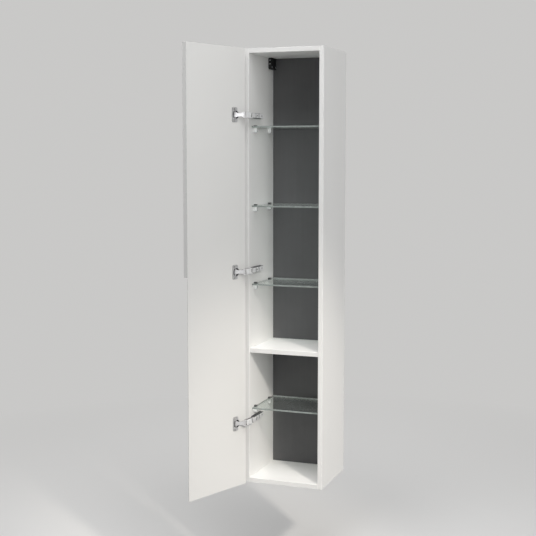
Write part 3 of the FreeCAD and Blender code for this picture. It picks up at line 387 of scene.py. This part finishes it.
# one finish for each material slot of the CAD
finishes = {
    "white_board": boardLacquer("whiteBoard", (0.85, 0.847, 0.835)),
    "door_white": boardLacquer("doorLacquer", (0.70, 0.696, 0.682), roughness=0.34),
    "strip_white": boardLacquer("stripPaint", (0.65, 0.648, 0.64), roughness=0.30, peel=0.03),
    "back_board": darkBoard("darkBack", (0.088, 0.088, 0.091)),
    "shelf_glass": clearGlass("shelfGlass"),
    "support_metal": metal("polishedZinc", (0.92, 0.925, 0.93), roughness=0.20, metallic=0.3),
    "support_pad_clear": mouldedPlastic("clearPad", (0.62, 0.63, 0.63), roughness=0.35),
    "beech_dowel": beech("beechDowel"),
    "bolt_steel": metal("zincSteel", (0.60, 0.61, 0.63), roughness=0.30),
    "cam_zinc": metal("castZinc", (0.50, 0.51, 0.52), roughness=0.42, spread=0.08, bump=0.15),
    "rail_steel": spangledSteel("galvanisedSteel"),
    "hanger_black": mouldedPlastic("blackPlastic", (0.01, 0.01, 0.011), roughness=0.52, gloss=0.3),
    "hook_steel": metal("hookSteel", (0.58, 0.59, 0.60), roughness=0.32),
    "hinge_nickel": metal("nickelPlate", (0.94, 0.94, 0.95), roughness=0.32, metallic=0.2),
    "hinge_screw": metal("nickelScrew", (0.52, 0.52, 0.51), roughness=0.30),
    "hinge_pin": metal("groundPin", (0.62, 0.62, 0.61), roughness=0.24),
}
slotOf = {entry["node"]: entry["material_slot"] for entry in frame["record"]["subparts"]}
bodies = frame["record"]["behaviour"]["bodies"]
bodyOf = {name: body for body, names in bodies.items() for name in names}
for name, node in nodes.items():
    for holder in node.material_slots:
        holder.material = finishes[slotOf[name]]
print("materials:", len(finishes))


# mesh helpers

easing = {
    "merge": 2e-6,  # vertices of a CAD copy closer than this become one
    "flat": 1.0,  # degrees under which neighbouring faces become one
    "sharp": 35.0,  # degrees over which an edge is eased
    "smooth": 32.0,  # degrees under which shading runs on
}
squareOn = 0.99  # least share of a face's normal along an axis to count as square to it


def addPiece(name, bm, replaced, smoothAngle=easing["smooth"]):
    mesh = bpy.data.meshes.new(name)
    bm.to_mesh(mesh)
    bm.free()
    mesh.shade_smooth()
    mesh.set_sharp_from_angle(angle=math.radians(smoothAngle))
    mesh.materials.append(finishes[slotOf[replaced[0]]])
    piece = bpy.data.objects.new(name, mesh)
    bpy.context.scene.collection.objects.link(piece)
    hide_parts(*replaced)
    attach(piece, bodyOf[replaced[0]])
    return piece


def softCopy(nodeName, width, segments=2, reshape=None):
    # the CAD shape with its sharp edges eased, reshaped first where it has more to show
    bm = bmesh.new()
    bm.from_mesh(nodes[nodeName].data)
    bmesh.ops.remove_doubles(bm, verts=bm.verts, dist=easing["merge"])
    bmesh.ops.dissolve_limit(bm, angle_limit=math.radians(easing["flat"]),
                             verts=bm.verts, edges=bm.edges)
    if reshape:
        reshape(bm)
    piece = addPiece(nodeName + ".soft", bm, [nodeName])
    ease = piece.modifiers.new("easedEdges", "BEVEL")
    ease.width = width
    ease.segments = segments
    ease.limit_method = "ANGLE"
    ease.angle_limit = math.radians(easing["sharp"])
    flat = piece.modifiers.new("flatFaces", "WEIGHTED_NORMAL")
    flat.mode = "FACE_AREA"
    flat.weight = 100
    flat.keep_sharp = True
    return piece


def twoTone(piece, second, chosen):
    piece.data.materials.append(second)
    for face in piece.data.polygons:
        face.material_index = 1 if chosen(face) else 0


def onlyVerts(made):
    return [item for item in made if isinstance(item, bmesh.types.BMVert)]


def cutAcross(bm, place, direction):
    geometry = list(bm.verts) + list(bm.edges) + list(bm.faces)
    bmesh.ops.bisect_plane(bm, geom=geometry, plane_co=place, plane_no=direction)


def raiseLoop(bm, edges, lift, scale=1.0, centre=Vector()):
    # a wall drawn up from a loop of edges along z, narrowed or widened round the centre
    verts = onlyVerts(bmesh.ops.extrude_edge_only(bm, edges=edges)["geom"])
    bmesh.ops.scale(bm, vec=(scale, scale, 1.0), space=Matrix.Translation(-centre), verts=verts)
    bmesh.ops.translate(bm, vec=(0.0, 0.0, lift), verts=verts)
    fresh = set(verts)
    return [edge for edge in bm.edges if edge.verts[0] in fresh and edge.verts[1] in fresh]


def sinkCross(bm, rim, centre, size, out=1.0):
    # a driver cross sunk inside a rim of edges, in a face that looks up, or down where out is -1
    arm, half = size["arm"], size["half"]
    outline = [(half, arm), (-half, arm), (-half, half),
               (-arm, half), (-arm, -half), (-half, -half)]
    outline += [(-x, -y) for x, y in outline]
    corners = [bm.verts.new(centre + Vector((x, y, 0.0))) for x, y in outline]
    cross = [bm.edges.new(ends) for ends in zip(corners, corners[1:] + corners[:1])]
    bmesh.ops.bridge_loops(bm, edges=rim + cross)
    floor = raiseLoop(bm, cross, -size["deep"] * out, size["taper"], centre)
    bmesh.ops.edgeloop_fill(bm, edges=floor)


# what all screws share; a size adds its head's radius and rise, its shank's radius and length,
# its cross's arm as a share of the head, and how deep the cross is
screw = {
    "segments": 28,
    "headSteps": ((0.45, 1.0), (0.35, 0.94), (0.20, 0.86)),  # share of the rise, and narrowing
    "armToHalf": 0.27,
    "taper": 0.62,
}


def screwMesh(name, size):
    bm = bmesh.new()
    bmesh.ops.create_circle(bm, segments=screw["segments"], radius=size["head"])
    rim = list(bm.edges)
    loop = rim
    for share, scale in screw["headSteps"]:
        loop = raiseLoop(bm, loop, size["rise"] * share, scale)
    arm = size["head"] * size["cross"]
    cross = {
        "arm": arm,
        "half": arm * screw["armToHalf"],
        "deep": size["deep"],
        "taper": screw["taper"],
    }
    sinkCross(bm, loop, Vector((0.0, 0.0, size["rise"])), cross)
    neck = raiseLoop(bm, rim, 0.0, size["shank"] / size["head"])
    tip = raiseLoop(bm, neck, -size["length"])
    bmesh.ops.edgeloop_fill(bm, edges=tip)
    bmesh.ops.recalc_face_normals(bm, faces=bm.faces)
    mesh = bpy.data.meshes.new(name)
    bm.to_mesh(mesh)
    bm.free()
    return mesh


def aimed(place, axis):
    # +Z of a stamped mesh turned along the axis
    return Matrix.Translation(place) @ Vector(axis).to_track_quat("Z", "Y").to_matrix().to_4x4()


def addScrews(name, node, size, places):
    mesh = screwMesh(name + "Shape", size)
    bm = bmesh.new()
    for place in places:
        start = len(bm.verts)
        bm.from_mesh(mesh)
        bm.verts.ensure_lookup_table()
        bmesh.ops.transform(bm, matrix=place, verts=bm.verts[start:])
    addPiece(name, bm, [node])


def middle(node):
    low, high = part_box(node)
    return (low + high) / 2


# heights of the hinges' middles and the glass's undersides, from the CAD, to the micrometre
hingeHeights = [round(middle("hinge_cup_%d" % number).z, 6) for number in (1, 2, 3)]
glassHeights = [round(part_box("glass_shelf_%d" % number)[0].z, 6) for number in (1, 2, 3, 4)]

# the open door's own axes: x along its inner face from the hinged to the free edge, y out of it
closedCorner = Vector((-0.1635, -0.307, 0.0))  # hinged edge of the inner face, with the door closed
swing = next(joint for joint in frame["joints"] if joint["name"] == "door_swing")
pivot = Vector((*swing["pos_m"][:2], 0.0))
opened = Matrix.Rotation(math.radians(-swing["range_deg"][1]), 4, "Z")
doorPlace = Matrix.Translation(pivot) @ opened @ Matrix.Translation(closedCorner - pivot)
freeEdge = opened.to_3x3() @ Vector((1.0, 0.0, 0.0))
doorOut = opened.to_3x3() @ Vector((0.0, 1.0, 0.0))


boards = {
    "carcass": ("left_side_panel", "right_side_panel", "top_panel", "bottom_panel", "fixed_shelf"),
    "carcassEase": 0.0003,
    "doorEase": 0.0007,
    "stripEase": 0.00035,
    "frontShadeColour": (0.68, 0.678, 0.668),
    "frontShadeLine": -0.29,  # only faces in front of this get the painted shade
    # painted shade on the door's free edge
    "lipShadeColour": (0.57, 0.567, 0.558),
    "lipTurn": 0.3,  # least share of a door face's normal towards the free edge
    "edgeRoughness": 0.42,
    "edgePeel": 0.03,
}


def makeBoards():
    # the front edges are painted a little greyer than the faces, a painted shade on what faces the front
    roughness, peel = boards["edgeRoughness"], boards["edgePeel"]
    shadeBand = boardLacquer("frontEdgeShade", boards["frontShadeColour"], roughness, peel)
    for name in boards["carcass"]:
        twoTone(softCopy(name, boards["carcassEase"]), shadeBand,
                lambda face: face.normal.y < -squareOn and face.center.y < boards["frontShadeLine"])
    # the door's free edge is painted greyer too, a painted shade that gives the thin grey line below the strip
    lipShade = boardLacquer("doorEdgeShade", boards["lipShadeColour"], roughness, peel)
    twoTone(softCopy("door_panel", boards["doorEase"], segments=3), lipShade,
            lambda face: face.normal.dot(freeEdge) > boards["lipTurn"])
    softCopy("handle_strip", boards["stripEase"])
    print("boards, door and grip strip eased")


hangers = {
    "ease": 0.0005,
    "hookEase": 0.0003,
    # the inward wall is what lies within this distance of the cabinet's middle
    "recess": {"within": 0.1335, "rim": 0.0022, "slope": 0.0006, "deep": 0.0008},
    "adjuster": {
        "head": 0.0030, "rise": 0.0012, "shank": 0.0026,
        "length": 0.0108, "cross": 0.62, "deep": 0.0014,
    },
    "adjusterDrops": (0.010, 0.025),  # below the underside of the top board
    "fixing": {
        "head": 0.0042, "rise": 0.0024, "shank": 0.0023,
        "length": 0.0236, "cross": 0.55, "deep": 0.0018,
    },
    "fixingDepths": (-0.073, -0.032),
}


def sinkWall(bm, side):
    # a moulded recess in the inward wall of a hanger housing, its holes left as bosses
    recess = hangers["recess"]
    wall = [face for face in bm.faces
            if face.normal.x * side < -squareOn
            and abs(face.calc_center_median().x) < recess["within"]]
    bmesh.ops.inset_region(bm, faces=wall, thickness=recess["rim"], depth=0.0)
    bmesh.ops.inset_region(bm, faces=wall, thickness=recess["slope"], depth=-recess["deep"])


def makeHangers():
    softCopy("left_wall_hanger", hangers["ease"], reshape=lambda bm: sinkWall(bm, -1))
    softCopy("right_wall_hanger", hangers["ease"], reshape=lambda bm: sinkWall(bm, 1))
    softCopy("hanger_hooks", hangers["hookEase"])
    across = middle("right_wall_hanger").x
    size = hangers["adjuster"]
    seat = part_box("hanger_adjusting_screws")[0].y + size["rise"]
    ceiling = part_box("top_panel")[0].z
    addScrews("hangerAdjusters", "hanger_adjusting_screws", size,
              [aimed((side * across, seat, ceiling - drop), (0, -1, 0))
               for side in (-1, 1) for drop in hangers["adjusterDrops"]])
    size = hangers["fixing"]
    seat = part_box("right_wall_hanger")[0].x + size["rise"]
    height = middle("hanger_fixing_screws").z
    addScrews("hangerFixings", "hanger_fixing_screws", size,
              [aimed((side * seat, depth, height), (-side, 0, 0))
               for side in (-1, 1) for depth in hangers["fixingDepths"]])
    print("wall hangers made")


supports = {
    "ease": 0.0006,
    "jawBelow": 0.0008,  # the dark jaw starts this far below the glass
    "jawColour": (0.10, 0.102, 0.105),
    "clamp": {
        "head": 0.0036, "rise": 0.003, "shank": 0.002,
        "length": 0.016, "cross": 0.58, "deep": 0.0018,
    },
    "clampAcross": 0.140,
    "clampDepths": (-0.245, -0.080),
    "clampDrop": 0.0168,
}


def makeSupports():
    # the part of each support above the glass is coloured dark
    dark = metal("darkJawAboveGlass", supports["jawColour"], roughness=0.30, metallic=0.7)
    for number, height in enumerate(glassHeights, start=1):
        level = height - supports["jawBelow"]
        piece = softCopy("shelf_supports_%d" % number, supports["ease"], segments=3,
                         reshape=lambda bm: cutAcross(bm, (0.0, 0.0, level), (0.0, 0.0, 1.0)))
        twoTone(piece, dark, lambda face: face.center.z > level)
    across, drop = supports["clampAcross"], supports["clampDrop"]
    addScrews("clampScrews", "support_clamp_screws", supports["clamp"],
              [aimed((side * across, depth, height - drop), (0, 0, -1))
               for height in glassHeights for side in (-1, 1) for depth in supports["clampDepths"]])
    print("shelf supports made")


hinges = {
    "ease": 0.00028,
    "armEase": 0.00022,
    "pinEase": 0.0003,
    # shallow steps pressed across the arm, by their middles along y
    "steps": {"middles": (-0.2666, -0.2330), "half": 0.0023, "deep": 0.0005},
    "stepSkin": 0.0012,  # how far below the arm's face the pressed steps get the painted shade
    "stepSlack": 0.00001,  # added to a step's half width where its faces are looked for
    "armTurn": 0.85,  # least share of an arm face's normal towards the inside to be pressed
    "flankTurn": 0.6,  # least share of a face's normal along z, up or down, to be a flank
    "cupTurn": 0.5,  # least share of a cup face's normal along the door's to keep the plated colour, not the painted shade
    # a dark colour painted on flanks, cut edges and pressed steps as painted shade
    "paintedShade": (0.075, 0.076, 0.079),
    # the mounting plates' colour: duller zinc, darkened further as painted shade round the arm
    "castAndShade": (0.20, 0.201, 0.205),
    # the inner links and cups take darker copies of the nickel plating, painted shade
    "link": (0.60, 0.60, 0.61),
    "cup": (0.56, 0.56, 0.57),
    "plateScrew": {
        "head": 0.0046, "rise": 0.0020, "shank": 0.003,
        "length": 0.022, "cross": 0.56, "deep": 0.0022,
    },
    "plateDepths": (-0.268, -0.236),
    "adjuster": {
        "head": 0.0037, "rise": 0.0012, "shank": 0.0024,
        "length": 0.007, "cross": 0.60, "deep": 0.0014,
    },
    "adjusterDepths": (-0.255, -0.201),
    "cupScrew": {
        "head": 0.0036, "rise": 0.0015, "shank": 0.0017,
        "length": 0.0133, "cross": 0.58, "deep": 0.0014,
    },
    "cupScrewPlace": (0.0655, 0.0013, 0.0225),  # along the door, out of it, up or down
}


def pressSteps(bm):
    steps = hinges["steps"]
    for centre in steps["middles"]:
        low, high = centre - steps["half"], centre + steps["half"]
        cutAcross(bm, (0.0, low, 0.0), (0.0, 1.0, 0.0))
        cutAcross(bm, (0.0, high, 0.0), (0.0, 1.0, 0.0))
        bm.normal_update()
        shadeBand = [face for face in bm.faces
                if face.normal.x > hinges["armTurn"] and low < face.calc_center_median().y < high]
        sunk = onlyVerts(bmesh.ops.extrude_face_region(bm, geom=shadeBand)["geom"])
        bmesh.ops.translate(bm, vec=(-steps["deep"], 0.0, 0.0), verts=sunk)


def makeHinges():
    # flanks, cut edges and pressed steps of the steel are painted dark against its plated faces, a painted shade
    steps = hinges["steps"]
    paintedShade = metal("nickelPaintedShade", hinges["paintedShade"], roughness=0.42, metallic=0.5)
    # the mounting plates are darker: duller zinc, and painted shade that outlines the arm
    castAndShade = metal("castPlateAndShade", hinges["castAndShade"], roughness=0.44, bump=0.10, metallic=0.5)
    # darker copies of the nickel for the inner links and cups, painted shade
    link = metal("linkNickel", hinges["link"], roughness=0.40, metallic=0.5)
    cup = metal("cupNickel", hinges["cup"], roughness=0.36, metallic=0.5)
    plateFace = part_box("mounting_plate_1")[1].x
    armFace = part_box("hinge_arm_1")[1].x

    def isFlank(face):
        return abs(face.normal.z) > hinges["flankTurn"]

    def isPressed(face):
        near = steps["half"] + hinges["stepSlack"]
        return (face.center.x > armFace - hinges["stepSkin"]
                and any(abs(face.center.y - centre) < near for centre in steps["middles"]))

    for number in (1, 2, 3):
        piece = softCopy("hinge_cup_%d" % number, hinges["ease"])
        piece.data.materials[0] = cup
        twoTone(piece, paintedShade, lambda face: abs(face.normal.dot(doorOut)) < hinges["cupTurn"])
        for part, finish in (("mounting_plate", castAndShade), ("outer_link", None), ("inner_link", link)):
            piece = softCopy("%s_%d" % (part, number), hinges["ease"])
            twoTone(piece, paintedShade, isFlank)
            if finish:
                piece.data.materials[0] = finish
        arm = softCopy("hinge_arm_%d" % number, hinges["armEase"], reshape=pressSteps)
        twoTone(arm, paintedShade, lambda face: isFlank(face) or isPressed(face))
    for name in ("hinge_arm_pins", "hinge_knee_pins", "hinge_cup_pins"):
        softCopy(name, hinges["pinEase"])

    addScrews("plateScrews", "plate_screws", hinges["plateScrew"],
              [aimed((plateFace, depth, height), (1, 0, 0))
               for height in hingeHeights for depth in hinges["plateDepths"]])
    addScrews("hingeAdjusters", "hinge_adjusting_screws", hinges["adjuster"],
              [aimed((armFace, depth, height), (1, 0, 0))
               for height in hingeHeights for depth in hinges["adjusterDepths"]])
    across, out, reach = hinges["cupScrewPlace"]
    addScrews("cupScrews", "cup_screws", hinges["cupScrew"],
              [doorPlace @ aimed((across, out, height + side * reach), (0, 1, 0))
               for height in hingeHeights for side in (-1, 1)])
    print("hinges made")


cams = {
    "ease": 0.0003,
    "radius": 0.0074,
    "discShare": 0.9,  # least share of the full circle for a face to be a cam's disc
    "cross": {"arm": 0.0046, "half": 0.0012, "deep": 0.0022, "taper": 0.8},
}


def cutCrosses(bm):
    least = cams["discShare"] * math.pi * cams["radius"] ** 2
    discs = [face for face in bm.faces
             if abs(face.normal.z) > squareOn and face.calc_area() > least]
    for disc in discs:
        centre, out, rim = disc.calc_center_bounds(), disc.normal.z, list(disc.edges)
        bmesh.ops.delete(bm, geom=[disc], context="FACES_ONLY")
        sinkCross(bm, rim, centre, cams["cross"], out)
    bmesh.ops.recalc_face_normals(bm, faces=bm.faces)


def makeFittings():
    # the cam discs show a driver cross on the top, under the floor board and under the fixed shelf
    softCopy("cam_housings", cams["ease"], reshape=cutCrosses)
    print("fittings made")


glass = {
    "arris": 0.0006,
    "smooth": 20.0,
    "edge": (0.25, 0.28, 0.268),
    # the rear edge is painted much lighter than the front edge, a painted highlight
    "rearEdgeHighlight": (0.64, 0.672, 0.656),
    "rearLine": -0.030,  # faces behind this belong to the rear edge
}


def makeGlass():
    # the rear edge's lighter colour is a painted highlight
    edges = [groundEdge("glassEdge", glass["edge"]), groundEdge("glassRearEdgeHighlight", glass["rearEdgeHighlight"])]
    for number in (1, 2, 3, 4):
        node = "glass_shelf_%d" % number
        low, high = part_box(node)
        bm = bmesh.new()
        bmesh.ops.create_cube(bm, size=1.0)
        bmesh.ops.scale(bm, vec=high - low, verts=bm.verts)
        bmesh.ops.translate(bm, vec=(low + high) / 2, verts=bm.verts)
        bmesh.ops.bevel(bm, geom=bm.edges, offset=glass["arris"], affect="EDGES",
                        segments=1, profile=0.5, material=-1)
        for face in bm.faces:
            atRear = face.calc_center_median().y > glass["rearLine"]
            face.material_index = 0 if abs(face.normal.z) > squareOn else 2 if atRear else 1
        piece = addPiece("glassShelf%d" % number, bm, [node], glass["smooth"])
        for edge in edges:
            piece.data.materials.append(edge)
    print("glass shelves made")


makeCamera()
makeStudio()
makeFloor()
makeBoards()
makeHangers()
makeSupports()
makeHinges()
makeFittings()
makeGlass()
